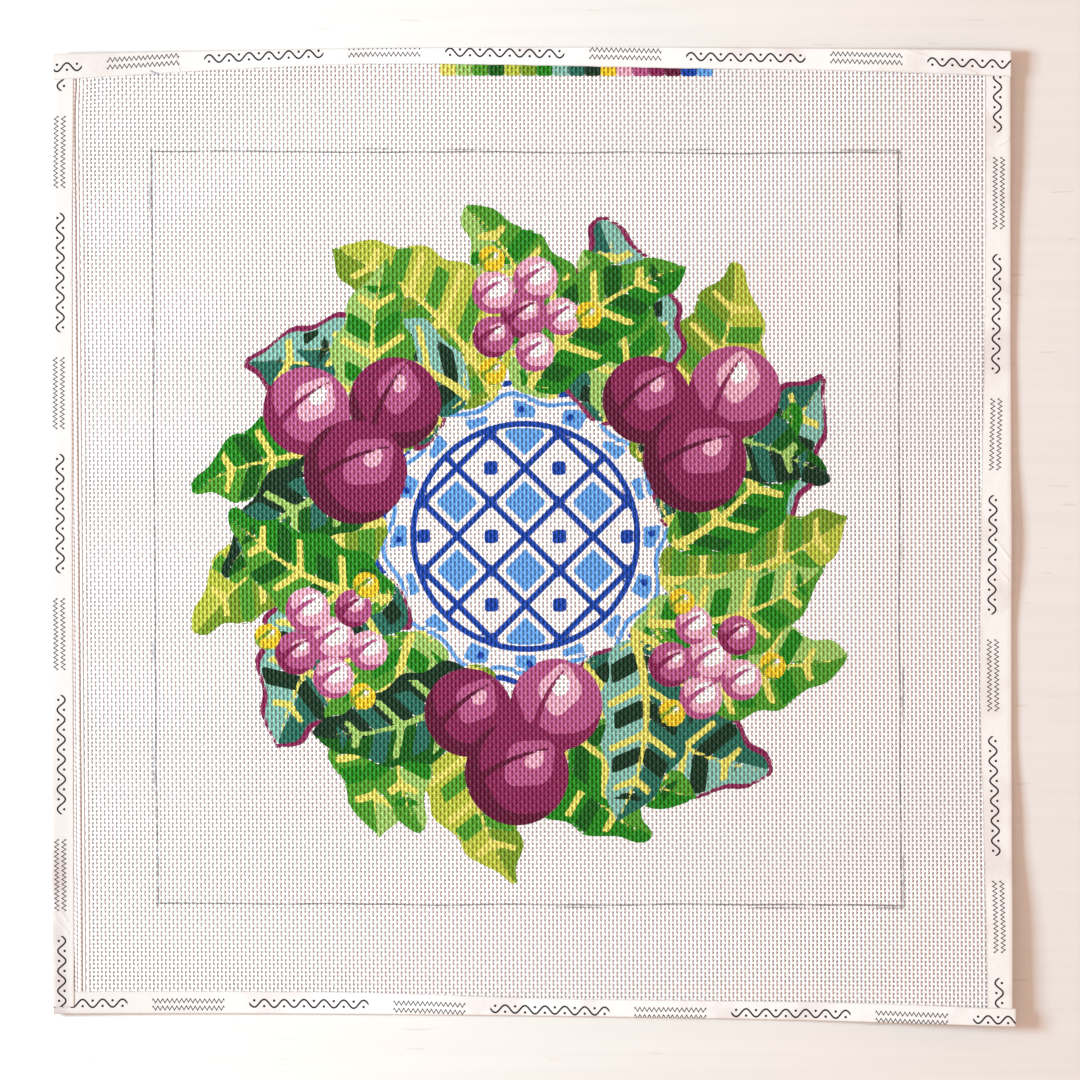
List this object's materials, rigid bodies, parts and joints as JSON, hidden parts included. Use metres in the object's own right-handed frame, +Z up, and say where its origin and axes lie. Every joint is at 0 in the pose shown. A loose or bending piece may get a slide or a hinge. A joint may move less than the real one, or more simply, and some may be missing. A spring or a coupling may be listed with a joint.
{
  "type": "hand-painted needlepoint canvas",
  "caption": "Square of stiff open-mesh needlepoint canvas lying flat, with a painted design, a pencilled frame and a colour strip, its cut edges bound in folded white tape.",
  "frame": {"origin": "on the table under the middle of the whole piece, edge tape included", "axes": "+X to the right and +Y to the top of the picture, +Z up from the table, out of the painted side"},
  "size_m": [0.4684, 0.4756, 0.0087],
  "materials": {
    "canvas": "matte",
    "tape": "matte"
  },
  "bodies": {
    "root": {"canvas": "canvas", "right_tape": "tape", "bottom_tape": "tape", "left_tape": "tape", "top_tape": "tape"}
  },
  "joints": []
}
